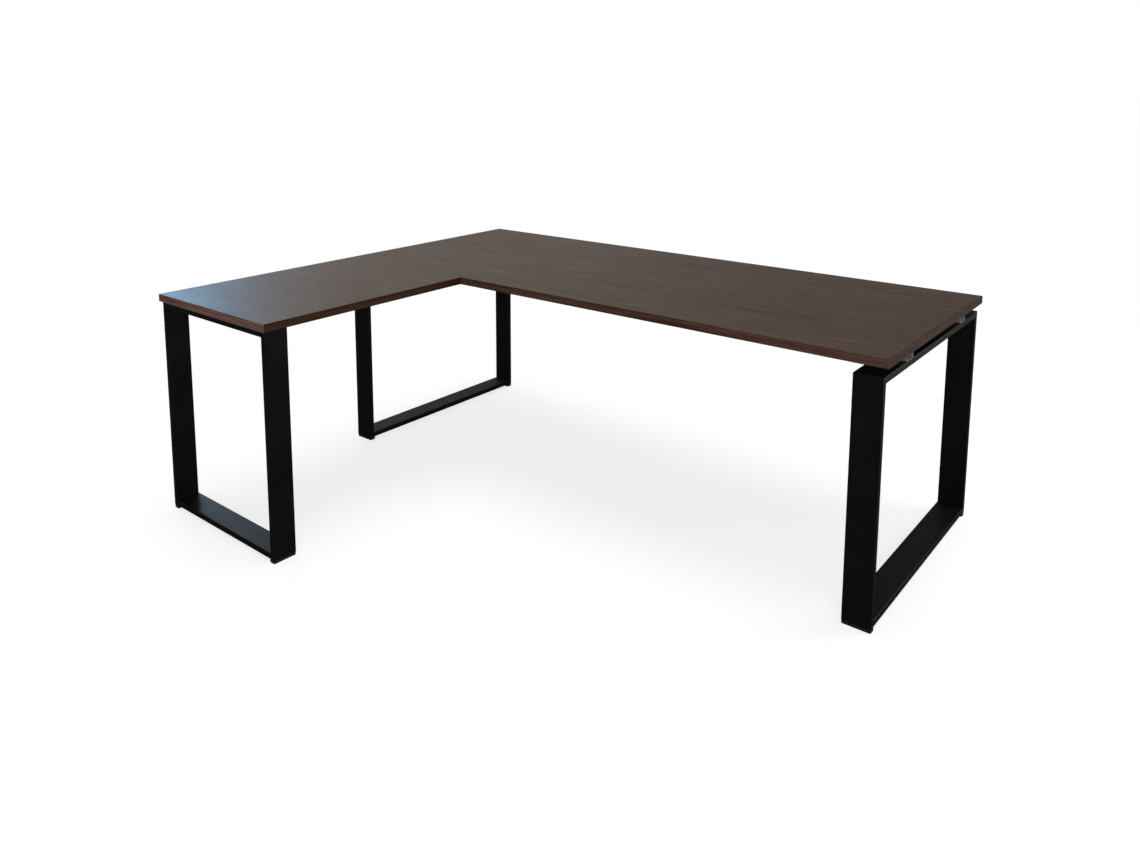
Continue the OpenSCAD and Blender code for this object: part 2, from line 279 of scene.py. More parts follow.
def islands(node):
    """The box of each separate solid of a CAD node, as (low, high), in a steady order."""
    mesh = frame["nodes"][node].data
    keys = {}
    parent = []

    def find(i):
        while parent[i] != i:
            parent[i] = parent[parent[i]]
            i = parent[i]
        return i

    # Vertices within about a hundredth of a millimetre count as one
    where = []
    for vertex in mesh.vertices:
        key = tuple(round(c * 1e5) for c in vertex.co)
        if key not in keys:
            keys[key] = len(parent)
            parent.append(len(parent))
        where.append(keys[key])
    for edge in mesh.edges:
        a, b = (find(where[v]) for v in edge.vertices)
        parent[a] = b
    boxes = {}
    for vertex in mesh.vertices:
        root = find(where[vertex.index])
        low, high = boxes.setdefault(root, ([math.inf] * 3, [-math.inf] * 3))
        for axis in range(3):
            low[axis] = min(low[axis], vertex.co[axis])
            high[axis] = max(high[axis], vertex.co[axis])
    return sorted(((Vector(low), Vector(high)) for low, high in boxes.values()), key=lambda b: tuple(b[0]))


# ======================================================================
# Materials
# ======================================================================

def set_stops(ramp, stops):
    """Gives a colour ramp its stops, each a position and a colour."""
    while len(ramp.elements) < len(stops):
        ramp.elements.new(0.5)
    for element, (position, colour) in zip(ramp.elements, stops):
        element.position = position
        element.color = (*colour, 1)


class Nodes:
    """A small helper that adds and joins shader nodes."""

    def __init__(self, name):
        self.material = bpy.data.materials.new(name)
        self.material.use_nodes = True
        self.tree = self.material.node_tree
        self.tree.nodes.clear()
        output = self.add("ShaderNodeOutputMaterial")
        self.shader = self.add("ShaderNodeBsdfPrincipled")
        self.join(self.shader.outputs[0], output.inputs["Surface"])
        self.object_coords = self.add("ShaderNodeTexCoord").outputs["Object"]

    def join(self, a, b):
        self.tree.links.new(a, b)

    def add(self, kind, **settings):
        node = self.tree.nodes.new(kind)
        for key, value in settings.items():
            setattr(node, key, value)
        return node

    def mapped(self, scale, offset=(0, 0, 0), rotation=(0, 0, 0), source=None):
        node = self.add("ShaderNodeMapping")
        node.inputs["Scale"].default_value = scale
        node.inputs["Location"].default_value = offset
        node.inputs["Rotation"].default_value = rotation
        self.join(source or self.object_coords, node.inputs["Vector"])
        return node.outputs[0]

    def noise(self, vector, scale=1.0, detail=2.0, roughness=0.5):
        node = self.add("ShaderNodeTexNoise")
        node.inputs["Scale"].default_value = scale
        node.inputs["Detail"].default_value = detail
        node.inputs["Roughness"].default_value = roughness
        self.join(vector, node.inputs["Vector"])
        return node.outputs["Fac"]

    def ramp(self, value, stops):
        node = self.add("ShaderNodeValToRGB")
        node.color_ramp.interpolation = "EASE"
        set_stops(node.color_ramp, stops)
        self.join(value, node.inputs["Fac"])
        return node.outputs["Color"]

    def span(self, value, from_low, from_high, to_low, to_high):
        node = self.add("ShaderNodeMapRange")
        node.inputs["From Min"].default_value = from_low
        node.inputs["From Max"].default_value = from_high
        node.inputs["To Min"].default_value = to_low
        node.inputs["To Max"].default_value = to_high
        self.join(value, node.inputs["Value"])
        return node.outputs["Result"]

    def mix(self, a, b, factor, blend="MIX"):
        node = self.add("ShaderNodeMix", data_type="RGBA", blend_type=blend)
        rgba = [s for s in node.inputs if s.type == "RGBA"]
        for socket, value in zip(rgba, (a, b)):
            if isinstance(value, tuple):
                socket.default_value = (*value, 1)
            else:
                self.join(value, socket)
        if isinstance(factor, float):
            node.inputs[0].default_value = factor
        else:
            self.join(factor, node.inputs[0])
        return [s for s in node.outputs if s.type == "RGBA"][0]

    def maths(self, operation, a, b=None):
        node = self.add("ShaderNodeMath", operation=operation)
        for socket, value in zip(node.inputs, (a, b)):
            if value is None:
                continue
            if isinstance(value, (int, float)):
                socket.default_value = value
            else:
                self.join(value, socket)
        return node.outputs[0]

    def weighted(self, *pairs):
        """The sum of values, each times its weight."""
        terms = [self.maths("MULTIPLY", value, weight) for value, weight in pairs]
        total = terms[0]
        for term in terms[1:]:
            total = self.maths("ADD", total, term)
        return total

    def bump(self, height, strength, distance):
        node = self.add("ShaderNodeBump")
        node.inputs["Strength"].default_value = strength
        node.inputs["Distance"].default_value = distance
        self.join(height, node.inputs["Height"])
        self.join(node.outputs[0], self.shader.inputs["Normal"])

    def set(self, **values):
        for name, value in values.items():
            self.shader.inputs[name.replace("_", " ")].default_value = value


WOOD_DARK = (0.052, 0.030, 0.021)
WOOD_MIDDLE = (0.093, 0.058, 0.042)
WOOD_LIGHT = (0.144, 0.096, 0.071)


def times(colour, factors):
    """The colour with each channel times its factor."""
    return tuple(c * f for c, f in zip(colour, factors))


def wood(
    name, turn=0.0, offset=(0, 0, 0), tint=(1.0, 1.0, 1.0), roughness=(0.25, 0.34),
    contrast=1.0, specular=0.35, fine=1.0, edge_lines=False,
):
    """Dark wood-grain decor. The grain runs along X, or along Y where turn is a quarter turn.
    fine makes the figure that many times finer along Z, for a narrow band."""
    n = Nodes(name)

    def grain(source, along, across, offset=(0, 0, 0), detail=2.0, rough=0.5):
        """Noise that repeats so many times per metre along the grain and across it."""
        coords = n.mapped((along, across, across), offset, source=source)
        return n.noise(coords, detail=detail, roughness=rough)

    base = n.mapped((1, 1, fine), offset, (0, 0, turn))
    # Two warps make the grain wander: a long slow one and a short one that forms the little waves
    slow = grain(base, 1.3, 2.2, detail=1.0)
    quick = grain(base, 7.0, 14.0)
    warp = n.weighted((slow, 0.14), (quick, 0.019))
    warped = n.add("ShaderNodeVectorMath", operation="MULTIPLY_ADD")
    n.join(warp, warped.inputs[0])
    warped.inputs[1].default_value = (0.0, 1.0, 0.4)
    n.join(base, warped.inputs[2])
    coords = warped.outputs[0]
    bands = grain(coords, 1.5, 7.0, detail=1.0)
    flames = grain(coords, 4.0, 27.0, detail=3.0)
    lines = grain(coords, 3.2, 300.0, detail=4.0, rough=0.65)
    streaks = grain(coords, 3.8, 46.0, offset=(1.3, 8.1, 0))
    flecks = grain(coords, 5.2, 60.0, offset=(4.7, 2.2, 0), detail=1.0)
    pores = grain(coords, 26.0, 850.0, detail=1.0)
    tone = n.weighted((bands, 0.24), (flames, 0.38), (lines, 0.38))
    half = 0.21 / contrast
    dark, middle, light = (times(colour, tint) for colour in (WOOD_DARK, WOOD_MIDDLE, WOOD_LIGHT))
    colour = n.ramp(tone, [(0.5 - half, dark), (0.5, middle), (0.5 + half, light)])
    # Light streaks and dark flecks are made of fine lines, not solid
    threads = n.span(lines, 0.42, 0.60, 0.35, 1.0)
    streak_mask = n.maths("MULTIPLY", n.span(streaks, 0.56, 0.70, 0.0, 1.45 * contrast), threads)
    colour = n.mix(colour, light, streak_mask)
    # The decor drifts a little between a redder and a greener brown
    drift = grain(coords, 2.6, 11.0, offset=(6.1, 3.3, 0), detail=1.0)
    hue = n.ramp(drift, [(0.36, (1.06, 0.96, 0.96)), (0.64, (0.98, 0.99, 0.99))])
    colour = n.mix(colour, hue, 1.0, "MULTIPLY")
    gaps = n.span(lines, 0.40, 0.58, 1.0, 0.25)
    fleck_mask = n.maths("MULTIPLY", n.span(flecks, 0.60, 0.73, 0.0, 0.9), gaps)
    pore_mask = n.span(pores, 0.57, 0.65, 0.0, 0.70)
    colour = n.mix(colour, tuple(c * 0.8 for c in dark), n.maths("MAXIMUM", fleck_mask, pore_mask))
    if edge_lines:
        # Thin darker lines along the top and the foot of each band
        high = n.add("ShaderNodeSeparateXYZ")
        n.join(n.object_coords, high.inputs[0])
        low_z, high_z = (corner[Z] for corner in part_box("edge_band_back"))
        top_line = n.span(high.outputs["Z"], high_z - 1.3 * BAND_LINE, high_z - 0.7 * BAND_LINE, 0.0, 0.55)
        foot_line = n.span(high.outputs["Z"], low_z + BAND_LINE, low_z + 0.4 * BAND_LINE, 0.0, 0.45)
        colour = n.mix(colour, tuple(c * 0.5 for c in dark), n.maths("MAXIMUM", top_line, foot_line))
    n.join(colour, n.shader.inputs["Base Color"])
    rough = n.span(tone, 0.35, 0.65, roughness[1], roughness[0])
    n.join(n.maths("ADD", rough, n.maths("MULTIPLY", pore_mask, 0.12)), n.shader.inputs["Roughness"])
    height = n.maths("SUBTRACT", n.maths("MULTIPLY", lines, 0.4), pore_mask)
    n.bump(height, 0.30, 0.00006)
    n.set(IOR=1.48, Specular_IOR_Level=specular)
    return n.material


def powder_coat():
    """Matt black powder coat on steel, with a fine orange peel."""
    n = Nodes("black_powder_coat")
    peel = n.noise(n.object_coords, 900.0, roughness=0.55)
    cloud = n.noise(n.object_coords, 5.0, detail=4.0)
    colour = n.ramp(cloud, [(0.3, (0.0047, 0.0045, 0.0040)), (0.7, (0.0067, 0.0065, 0.0058))])
    speck = n.span(n.noise(n.object_coords, 2600.0, detail=1.0), 0.62, 0.74, 0.0, 0.35)
    colour = n.mix(colour, (0.012, 0.012, 0.011), speck)
    n.join(colour, n.shader.inputs["Base Color"])
    rough = n.maths("ADD", n.span(cloud, 0.3, 0.7, 0.38, 0.46), n.span(peel, 0.3, 0.7, -0.03, 0.03))
    n.join(rough, n.shader.inputs["Roughness"])
    n.bump(peel, 0.22, 0.00010)
    n.set(IOR=1.45, Specular_IOR_Level=0.20)
    return n.material


def pad_plastic():
    """Black plastic with a moulded grain and dull scuffs."""
    n = Nodes("black_moulded_plastic")
    grain = n.noise(n.object_coords, 1500.0, detail=3.0)
    scuff = n.noise(n.mapped((30, 30, 6)), 4.0, detail=4.0, roughness=0.7)
    colour = n.ramp(scuff, [(0.4, (0.008, 0.008, 0.008)), (0.8, (0.020, 0.019, 0.018))])
    n.join(colour, n.shader.inputs["Base Color"])
    n.join(n.span(scuff, 0.3, 0.8, 0.55, 0.75), n.shader.inputs["Roughness"])
    n.bump(grain, 0.4, 0.0001)
    n.set(IOR=1.5)
    return n.material


def zinc(name, warm=0.0, level=1.0, cloud_scale=60.0):
    """Zinc plating: grey metal with faint clouds and fine scratches. warm adds a little yellow."""
    n = Nodes(name)
    cloud = n.noise(n.object_coords, cloud_scale, detail=5.0, roughness=0.6)
    scratch = n.noise(n.mapped((30, 900, 300)))
    low = tuple(level * c for c in (0.42 + warm, 0.43 + warm * 0.7, 0.44))
    high = tuple(level * c for c in (0.60 + warm, 0.61 + warm * 0.7, 0.63))
    n.join(n.ramp(cloud, [(0.3, low), (0.7, high)]), n.shader.inputs["Base Color"])
    rough = n.maths("ADD", n.span(cloud, 0.3, 0.7, 0.30, 0.42), n.span(scratch, 0.4, 0.7, 0.0, 0.08))
    n.join(rough, n.shader.inputs["Roughness"])
    n.bump(scratch, 0.15, 0.00003)
    n.set(Metallic=0.7)
    return n.material


TOP_LAMINATE = wood("laminate_top", contrast=0.78)
UNDERSIDE_LAMINATE = wood("laminate_underside", offset=(3.1, 1.7, 0), roughness=(0.5, 0.6), contrast=0.8)

# The bands are browner than the board, and each direction has its own batch. The return's end band faces
# the same way as the front band, yet is made about twice as light: painted light from the front left
LONG_BAND_TINT = (0.96, 0.78, 0.76)
CROSS_BAND_TINT = (0.56, 0.41, 0.28)
# Painted light: this tint lifts the end band far above the front band, as if lit from the front left
END_BAND_PAINTED_LIGHT_TINT = (2.16, 1.96, 2.15)
BAND_LOOK = {"roughness": (0.42, 0.52), "contrast": 2.4, "specular": 0.14, "fine": 7.0, "edge_lines": True}
BAND_LONG = wood("edge_band_long", offset=(0.4, 0.3, 0.2), tint=LONG_BAND_TINT, **BAND_LOOK)
BAND_CROSS = wood("edge_band_cross", math.pi / 2, (0.7, 0.1, 0.4), tint=CROSS_BAND_TINT, **BAND_LOOK)
BAND_END_PAINTED_LIGHT = wood("edge_band_end_painted_light", offset=(2.9, 0.6, 0.1), tint=END_BAND_PAINTED_LIGHT_TINT, **BAND_LOOK)

BLACK_STEEL = powder_coat()
PAD_BLACK = pad_plastic()
BRACKET_ZINC = zinc("zinc_bracket")
FIXING_ZINC = zinc("zinc_fixing", warm=0.03)
BEAM_ZINC = zinc("galvanised_beam", level=0.85, cloud_scale=35.0)


# ======================================================================
# Board and edge bands
# ======================================================================

def build_board():
    """The L-shaped board. Its inner corner lies where the two inner bands start."""
    low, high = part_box("desktop_board")
    inner_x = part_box("edge_band_return_inner")[0][X]
    inner_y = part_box("edge_band_main_front")[1][Y]
    outline = [
        (low[X], high[Y]), (low[X], low[Y]), (inner_x, low[Y]),
        (inner_x, inner_y), (high[X], inner_y), (high[X], high[Y]),
    ]
    bm, lower, upper = upright_wall(outline, low[Z], high[Z])
    for ring in (lower, upper):
        # Two faces that share the edge from the outer corner to the inner one
        bm.faces.new([ring[k] for k in (0, 1, 2, 3)])
        bm.faces.new([ring[k] for k in (3, 4, 5, 0)])
    bmesh.ops.recalc_face_normals(bm, faces=bm.faces)
    soften(bm, [e for e in bm.edges if is_level(e) and is_sharp(e)], BOARD_EDGE_CHAMFER)
    bmesh.ops.recalc_face_normals(bm, faces=bm.faces)
    for face in bm.faces:
        face.material_index = 1 if face.normal.z < -0.9 else 0
    finish_mesh("board", bm, [TOP_LAMINATE, UNDERSIDE_LAMINATE], ["desktop_board"])


def build_band(node, axis, outward, material):
    """A glued band, with the long edges of its outward face rounded by the trimming machine.
    axis is the one its face looks along, and outward is +1 or -1 on it."""
    low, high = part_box(node)
    bm = box_bmesh(low, high)
    face = high[axis] if outward > 0 else low[axis]
    long_edges = [
        e for e in bm.edges
        if is_level(e) and all(abs(v.co[axis] - face) < TINY for v in e.verts)
    ]
    soften(bm, long_edges, BAND_EDGE_RADIUS, segments=3)
    finish_mesh(node + "_strip", bm, [material], [node])


# ======================================================================
# Steel tubes
# ======================================================================

def rounded_section(width, depth, radius):
    """Points round a rectangle with rounded corners, as (across, deep)."""
    points = []
    centres = [
        (width - radius, depth - radius, 0.0), (radius, depth - radius, 90.0),
        (radius, radius, 180.0), (width - radius, radius, 270.0),
    ]
    for across, deep, start in centres:
        for step in range(CORNER_STEPS + 1):
            angle = math.radians(start + 90.0 * step / CORNER_STEPS)
            points.append((across + radius * math.cos(angle), deep + radius * math.sin(angle)))
    return points


def tube_bmesh(low, high, along, deep, outward, radius, mitred):
    """A hollow rounded tube that fills the box. along and deep are axis numbers.
    outward is +1 or -1: the side along deep that is longer where the ends are mitred."""
    across = 3 - along - deep
    length, width, depth = (high[axis] - low[axis] for axis in (along, across, deep))
    bm = bmesh.new()

    def place(s, a, d):
        point = [0.0, 0.0, 0.0]
        point[along] = low[along] + s
        point[across] = low[across] + a
        point[deep] = high[deep] - d if outward > 0 else low[deep] + d
        return bm.verts.new(point)

    def ring(points, at_end):
        verts = []
        for a, d in points:
            cut = d if mitred else 0.0
            verts.append(place(length - cut if at_end else cut, a, d))
        return verts

    outer = rounded_section(width, depth, radius)
    inner_radius = max(radius - TUBE_WALL, LEAST_INNER_RADIUS)
    inner = [
        (a + TUBE_WALL, d + TUBE_WALL)
        for a, d in rounded_section(width - 2 * TUBE_WALL, depth - 2 * TUBE_WALL, inner_radius)
    ]
    rings = [ring(outer, False), ring(outer, True), ring(inner, True), ring(inner, False)]
    for first, second in zip(rings, rings[1:] + rings[:1]):
        bridge(bm, first, second)
    bmesh.ops.recalc_face_normals(bm, faces=bm.faces)
    return bm


BOARD_SCREWS = islands("desktop_wood_screws")


def screws_through(low, high):
    """The board screws whose heads are inside a box."""
    found = []
    for screw in BOARD_SCREWS:
        x, y, _ = middle_of(screw)
        head_z = screw[0][Z]
        if low[X] <= x <= high[X] and low[Y] <= y <= high[Y] and low[Z] - MM < head_z < high[Z]:
            found.append(screw)
    return found


def access_hole(screw, z0, z1):
    """A cutter for the hole through which a board screw is driven."""
    x, y, _ = middle_of(screw)
    return moved(rod(ACCESS_HOLE_D, z0, z1, HOLE_STEPS), Matrix.Translation((x, y, 0)))


def build_tube(node, along, deep, outward, radius, mitred, material):
    """A tube, with an access hole in its lower wall under each board screw that it holds."""
    low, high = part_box(node)
    bm = tube_bmesh(low, high, along, deep, outward, radius, mitred)
    screws = [] if along == Z else screws_through(low, high)
    if screws:
        from_below = low[Z] - 5 * MM
        to_inside = (low[Z] + high[Z]) / 2
        bm = cut_holes(bm, [access_hole(screw, from_below, to_inside) for screw in screws])
    finish_mesh(node + "_tube", bm, [material], [node])


def build_frame_tube(node, along, deep, outward):
    build_tube(node, along, deep, outward, TUBE_RADIUS, True, BLACK_STEEL)


def build_beam(node, along):
    build_tube(node, along, Z, 1, BEAM_RADIUS, False, BEAM_ZINC)


# ======================================================================
# Brackets, pads and fixings
# ======================================================================

def nearest_return_beam(x):
    """The middle of the return beam that is nearest to x."""
    middles = [middle_of(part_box(name)) for name in ("return_beam_left", "return_beam_right")]
    return min(middles, key=lambda middle: abs(middle[X] - x))


def build_bracket(node):
    """A bent steel angle with a rounded bend and softened edges, in the corner beside a beam."""
    low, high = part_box(node)
    middle = middle_of((low, high))
    beam = nearest_return_beam(middle[X])
    side = 1 if middle[X] > beam[X] else -1
    towards = 1 if middle[Y] < beam[Y] else -1
    leg = high[X] - low[X]
    bend = BRACKET_BEND_RADIUS
    inner_bend = bend - BRACKET_SHEET
    angles = [math.radians(180 + 90 * i / CORNER_STEPS) for i in range(CORNER_STEPS + 1)]
    arc = [(math.cos(a), math.sin(a)) for a in angles]
    # The first leg, the inner side of the bend, the second leg, then the outer side of the bend
    outline = [(leg, 0), (leg, BRACKET_SHEET)]
    outline += [(bend + inner_bend * c, bend + inner_bend * s) for c, s in reversed(arc)]
    outline += [(BRACKET_SHEET, leg), (0, leg)]
    outline += [(bend + bend * c, bend + bend * s) for c, s in arc]
    bm, lower, upper = upright_wall(outline, 0, high[Z] - low[Z])
    bm.faces.new(lower)
    bm.faces.new(upper)
    bmesh.ops.recalc_face_normals(bm, faces=bm.faces)
    soften(bm, [e for e in bm.edges if is_sharp(e)], BRACKET_EDGE_RADIUS, segments=2)
    corner = Vector((low[X] if side > 0 else high[X], low[Y] if towards > 0 else high[Y], low[Z]))
    moved(bm, Matrix.Translation(corner) @ Matrix.Diagonal((side, towards, 1, 1)))
    finish_mesh(node + "_angle", bm, [BRACKET_ZINC], [node])


def build_pad(node):
    """A moulded glide pad with rounded corners, a softened rim and a screw recess below."""
    low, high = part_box(node)
    bm = box_bmesh(low, high)
    soften(bm, [e for e in bm.edges if not is_level(e)], PAD_CORNER_RADIUS, segments=6)
    bmesh.ops.recalc_face_normals(bm, faces=bm.faces)
    soften(bm, [e for e in bm.edges if is_level(e) and is_sharp(e)], PAD_EDGE_CHAMFER, segments=3)
    x, y, _ = middle_of((low, high))
    recess = rod(PAD_RECESS_D, low[Z] - MM, low[Z] + PAD_RECESS_DEPTH)
    bm = cut_holes(bm, [moved(recess, Matrix.Translation((x, y, 0)))])
    finish_mesh(node + "_moulding", bm, [PAD_BLACK], [node])


def domed_head(diameter, height, rim):
    """A screw head that points down from z = 0. rim is the upright share of its height."""
    radius = diameter / 2
    angles = [math.radians(a) for a in range(90, -1, -10)]
    crown = [(radius * math.cos(a), -height * (rim + (1 - rim) * math.sin(a))) for a in angles]
    profile = [(0, -height)] + [(r, z) for r, z in crown if r > TINY] + [(radius, 0), (0, 0)]
    return lathe(profile)


def socket_head(diameter, height):
    """A button head with a hexagon socket."""
    key_radius = BOLT_KEY / math.sqrt(3)
    low, high = -height - MM, -height * 0.35
    hexagon = lathe([(0, low), (key_radius, low), (key_radius, high), (0, high)], 6)
    return cut_holes(domed_head(diameter, height, rim=0.25), [hexagon])


def cross_head(diameter, height):
    """A pan head with a cross recess."""
    reach, half = diameter / 2 * 0.55, diameter / 2 * 0.13
    low, high = -height - MM, -height * 0.45
    head = domed_head(diameter, height, rim=0.35)
    for x, y in ((reach, half), (half, reach)):
        head = cut_holes(head, [box_bmesh((-x, -y, low), (x, y, high))])
    return head


def shank(diameter, length, pitch, plain_length):
    """A threaded shank from z = 0 up, plain at its start."""
    radius = diameter / 2
    root = radius - THREAD_DEPTH * pitch
    profile = [(0, 0), (radius, 0)]
    if plain_length > 0:
        profile.append((radius, plain_length))
    z = plain_length + pitch
    while z < length - pitch:
        profile += [(root, z), (radius, z + pitch / 2)]
        z += pitch
    profile += [(radius * 0.8, length - pitch / 2), (0, length)]
    return lathe(profile, SHANK_STEPS)


def upright_places(node, rise):
    """A matrix at the foot of each solid of a node of upright fixings, raised by rise."""
    places = []
    for solid in islands(node):
        x, y, _ = middle_of(solid)
        places.append(Matrix.Translation((x, y, solid[0][Z] + rise)))
    return places


def finish_fixings(name, bm, node):
    finish_mesh(name, bm, [FIXING_ZINC], [node], weighted=False)


def build_upright_fixings(name, node, make_head, head_ratio, head_height, pitch, plain_length):
    """Bolts or screws with their heads down. head_ratio is the head's diameter and head_height
    its height, both in shank diameters."""
    low, high = islands(node)[0]
    head_d = high[X] - low[X]
    shank_d = head_d / head_ratio
    head_h = shank_d * head_height
    thread = shank(shank_d, high[Z] - low[Z] - head_h, pitch, plain_length)
    bm = joined(make_head(head_d, head_h), thread)
    finish_fixings(name, repeated(bm, upright_places(node, head_h)), node)


def build_bracket_screws():
    """Screws that lie along X or Y and point towards the beam they belong to."""
    head_h = BRACKET_SCREW_HEAD_HEIGHT
    places = []
    solids = islands("bracket_screws")
    for low, high in solids:
        size = high - low
        middle = (low + high) / 2
        beam = nearest_return_beam(middle[X])
        if size[X] > size[Y]:
            axis = X
            inward = 1 if beam[X] > middle[X] else -1
            turn = Matrix.Rotation(inward * math.pi / 2, 4, "Y")
        else:
            axis = Y
            inward = -1 if beam[Y] > middle[Y] else 1
            turn = Matrix.Rotation(-inward * math.pi / 2, 4, "X")
        middle[axis] = low[axis] + head_h if inward > 0 else high[axis] - head_h
        places.append(Matrix.Translation(middle) @ turn)
    length = max(solids[0][1] - solids[0][0])
    head = cross_head(BRACKET_SCREW_HEAD_D, head_h)
    bm = joined(head, shank(BRACKET_SCREW_D, length - head_h, METAL_SCREW_PITCH, 0))
    finish_fixings("bracket_screw_set", repeated(bm, places), "bracket_screws")


def build_washers():
    """Flat washers with softened outer edges."""
    low, high = islands("frame_washers")[0]
    hole, outer, height = WASHER_HOLE_RADIUS, (high[X] - low[X]) / 2, high[Z] - low[Z]
    edge = WASHER_EDGE_CHAMFER
    profile = [
        (hole, 0), (outer - edge, 0), (outer, edge),
        (outer, height - edge), (outer - edge, height), (hole, height),
    ]
    bm = bmesh.new()
    rings = [circle(bm, radius, z, LATHE_STEPS) for radius, z in profile]
    for first, second in zip(rings, rings[1:] + rings[:1]):
        bridge(bm, first, second)
    finish_fixings("frame_washer_set", repeated(bm, upright_places("frame_washers", 0)), "frame_washers")


# ======================================================================
# The desk
# ======================================================================

build_board()
build_band("edge_band_back", Y, 1, BAND_LONG)
build_band("edge_band_main_front", Y, -1, BAND_LONG)
# The end band takes the lighter tint: painted light from the front left
build_band("edge_band_return_end", Y, -1, BAND_END_PAINTED_LIGHT)
build_band("edge_band_left", X, -1, BAND_CROSS)
build_band("edge_band_right", X, 1, BAND_CROSS)
build_band("edge_band_return_inner", X, 1, BAND_CROSS)

for side in ("right", "middle"):
    build_frame_tube(side + "_frame_top_rail", Y, Z, 1)
    build_frame_tube(side + "_frame_bottom_rail", Y, Z, -1)
    build_frame_tube(side + "_frame_near_post", Z, Y, -1)
    build_frame_tube(side + "_frame_far_post", Z, Y, 1)
build_frame_tube("return_frame_top_rail", X, Z, 1)
build_frame_tube("return_frame_bottom_rail", X, Z, -1)
build_frame_tube("return_frame_left_post", Z, X, -1)
build_frame_tube("return_frame_right_post", Z, X, 1)
build_beam("main_beam_near", X)
build_beam("main_beam_far", X)
build_beam("return_beam_left", Y)
build_beam("return_beam_right", Y)

for node_name in frame["nodes"]:
    if node_name.startswith("bracket_") and node_name != "bracket_screws":
        build_bracket(node_name)
    if node_name.startswith("glide_pad_") and node_name != "glide_pad_screws":
        build_pad(node_name)

build_upright_fixings(
    "frame_bolt_set", "frame_bolts", socket_head,
    head_ratio=1.75, head_height=0.55, pitch=BOLT_PITCH, plain_length=20 * MM,
)
build_washers()
build_upright_fixings(
    "board_screw_set", "desktop_wood_screws", cross_head,
    head_ratio=2.0, head_height=0.6, pitch=WOOD_SCREW_PITCH, plain_length=3 * MM,
)
build_upright_fixings(
    "pad_screw_set", "glide_pad_screws", cross_head,
    head_ratio=1.8, head_height=0.6, pitch=METAL_SCREW_PITCH, plain_length=5 * MM,
)
build_bracket_screws()

# The nuts keep their CAD mesh
for material_slot in frame["nodes"]["frame_nuts"].material_slots:
    material_slot.material = FIXING_ZINC


# ======================================================================
# Floor, light and camera
# ======================================================================

FLOOR_SIZE = 60
FLOOR_COLOUR = 0.38
FLOOR_BOUNCE = 0.10
FLOOR_GLOW = 0.755
SUN_ANGLE = 37
CEILING = (0.20, 0.195, 0.185)
CEILING_STARTS = (0.45, 0.75)
WINDOW_BLUE_FADES = (0.28, 0.40)

# The room that the desk mirrors: azimuth in degrees from +X, and the colour at that side.
# There is a blue window at about 150 to 172 degrees.
ROOM = [
    (-180, (0.12, 0.13, 0.15)),
    (-152, (0.13, 0.13, 0.13)),
    (-132, (0.48, 0.46, 0.44)),
    (-105, (0.40, 0.385, 0.37)),
    (-80, (0.24, 0.235, 0.225)),
    (-20, (0.24, 0.235, 0.225)),
    (10, (0.10, 0.10, 0.10)),
    (60, (0.08, 0.08, 0.08)),
    (100, (0.09, 0.09, 0.085)),
    (115, (0.17, 0.165, 0.155)),
    (126, (0.27, 0.26, 0.24)),
    (135, (0.31, 0.30, 0.27)),
    (142, (0.36, 0.35, 0.32)),
    (147, (0.44, 0.48, 0.50)),
    (149.5, (0.32, 0.84, 1.30)),
    (153, (0.82, 1.92, 3.35)),
    (172, (0.82, 1.92, 3.35)),
    (176, (0.20, 0.22, 0.25)),
]


def build_floor():
    """A pale floor. It glows for the camera only, and throws little light back at the desk."""
    bm = bmesh.new()
    bmesh.ops.create_grid(bm, x_segments=1, y_segments=1, size=FLOOR_SIZE)
    floor = add_object("studio_floor", mesh_from("studio_floor", bm))
    floor.location = (0, 0, CAD_BOUNDS[0][Z])
    n = Nodes("studio_floor")
    n.set(Roughness=0.9, Specular_IOR_Level=0.0, Emission_Color=(1, 1, 1, 1))
    seen = n.add("ShaderNodeLightPath").outputs["Is Camera Ray"]
    n.join(n.span(seen, 0.0, 1.0, FLOOR_BOUNCE, FLOOR_COLOUR), n.shader.inputs["Base Color"])
    n.join(n.maths("MULTIPLY", seen, FLOOR_GLOW), n.shader.inputs["Emission Strength"])
    floor.data.materials.append(n.material)


def place_light(name, data, position, target, mirrored):
    """Hangs a light that the camera can't see. Glossy surfaces show it only if mirrored."""
    light = add_object(name, data)
    light.location = position
    light.rotation_euler = (Vector(target) - Vector(position)).to_track_quat("-Z", "Y").to_euler()
    light.visible_camera = False
    light.visible_glossy = mirrored


def add_sun(name, position, strength):
    """A soft sun that shines towards the origin."""
    data = bpy.data.lights.new(name, "SUN")
    data.energy = strength
    data.angle = math.radians(SUN_ANGLE)
    place_light(name, data, position, (0, 0, 0), True)


def add_panel(name, position, target, power, size, mirrored=True):
    """A rectangular light aimed at the target."""
    data = bpy.data.lights.new(name, "AREA")
    data.energy = power
    data.shape = "RECTANGLE"
    data.size, data.size_y = size
    place_light(name, data, position, target, mirrored)


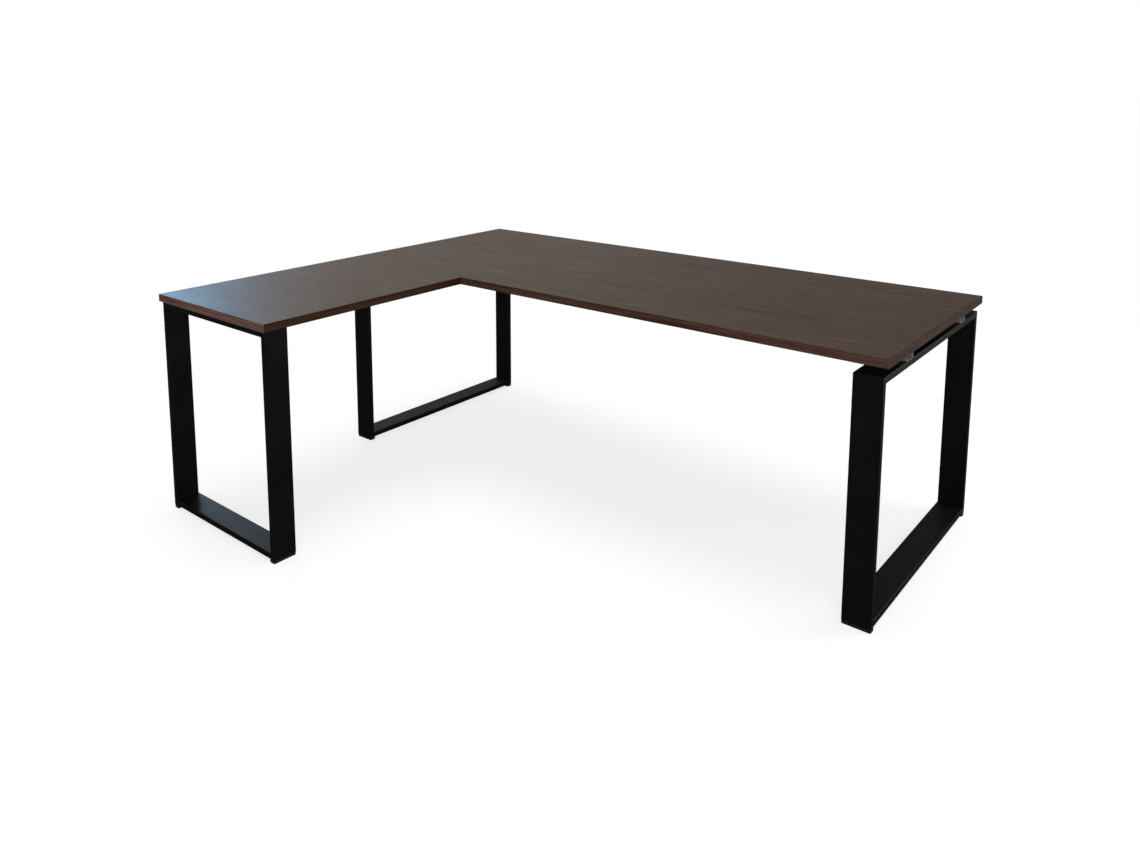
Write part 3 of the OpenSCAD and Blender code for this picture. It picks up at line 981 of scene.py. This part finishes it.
def build_world():
    """Soft room light: walls all round with a window on the left, and a ceiling.
    The camera sees plain white."""
    world = bpy.data.worlds.new("studio")
    bpy.context.scene.world = world
    world.use_nodes = True
    tree = world.node_tree
    tree.nodes.clear()
    add = tree.nodes.new
    join = tree.links.new
    direction = add("ShaderNodeTexCoord").outputs["Generated"]
    around = add("ShaderNodeTexGradient")
    around.gradient_type = "RADIAL"
    join(direction, around.inputs["Vector"])
    ring = add("ShaderNodeValToRGB")
    set_stops(ring.color_ramp, [(azimuth / 360 + 0.5, colour) for azimuth, colour in ROOM])
    join(around.outputs["Fac"], ring.inputs["Fac"])
    split = add("ShaderNodeSeparateXYZ")
    join(direction, split.inputs[0])
    rise = add("ShaderNodeMapRange")
    rise.interpolation_type = "SMOOTHSTEP"
    rise.inputs["From Min"].default_value, rise.inputs["From Max"].default_value = CEILING_STARTS
    join(split.outputs["Z"], rise.inputs["Value"])
    # The window is blue low down and grey higher up
    fade = add("ShaderNodeMapRange")
    fade.inputs["From Min"].default_value, fade.inputs["From Max"].default_value = WINDOW_BLUE_FADES
    fade.inputs["To Min"].default_value, fade.inputs["To Max"].default_value = 1.0, 0.0
    join(split.outputs["Z"], fade.inputs["Value"])
    greyed = add("ShaderNodeHueSaturation")
    join(fade.outputs[0], greyed.inputs["Saturation"])
    join(ring.outputs["Color"], greyed.inputs["Color"])
    walls = add("ShaderNodeBackground")
    join(greyed.outputs["Color"], walls.inputs["Color"])
    ceiling = add("ShaderNodeBackground")
    ceiling.inputs["Color"].default_value = (*CEILING, 1)
    room = add("ShaderNodeMixShader")
    join(rise.outputs[0], room.inputs[0])
    join(walls.outputs[0], room.inputs[1])
    join(ceiling.outputs[0], room.inputs[2])
    backdrop = add("ShaderNodeBackground")
    backdrop.inputs["Color"].default_value = (1, 1, 1, 1)
    path = add("ShaderNodeLightPath")
    seen = add("ShaderNodeMixShader")
    join(path.outputs["Is Camera Ray"], seen.inputs[0])
    join(room.outputs[0], seen.inputs[1])
    join(backdrop.outputs[0], seen.inputs[2])
    join(seen.outputs[0], add("ShaderNodeOutputWorld").inputs["Surface"])


def build_camera():
    data = bpy.data.cameras.new("camera")
    data.sensor_width = 36.0
    data.lens = CAMERA_LENS
    data.shift_x, data.shift_y = CAMERA_SHIFT
    camera = add_object("camera", data)
    turn = (
        Matrix.Rotation(math.radians(CAMERA_YAW), 4, "Z")
        @ Matrix.Rotation(math.radians(90 - CAMERA_PITCH), 4, "X")
        @ Matrix.Rotation(math.radians(CAMERA_ROLL), 4, "Z")
    )
    camera.matrix_world = Matrix.Translation(CAMERA_POSITION) @ turn
    bpy.context.scene.camera = camera


build_floor()
build_world()
add_sun("overhead", position=(0.05, 0.22, 3), strength=1.2)
add_panel("right_panel", (3.0, 2.2, 0.9), target=(1.0, 0.4, 0.65), power=33, size=(1.2, 1.2))
add_panel(
    "front_panel", (3.2, -4.2, 1.3), target=(0.2, -0.2, 0.5), power=120, size=(3.5, 2.2),
    mirrored=False,
)
build_camera()
bpy.context.scene.view_settings.view_transform = "Standard"
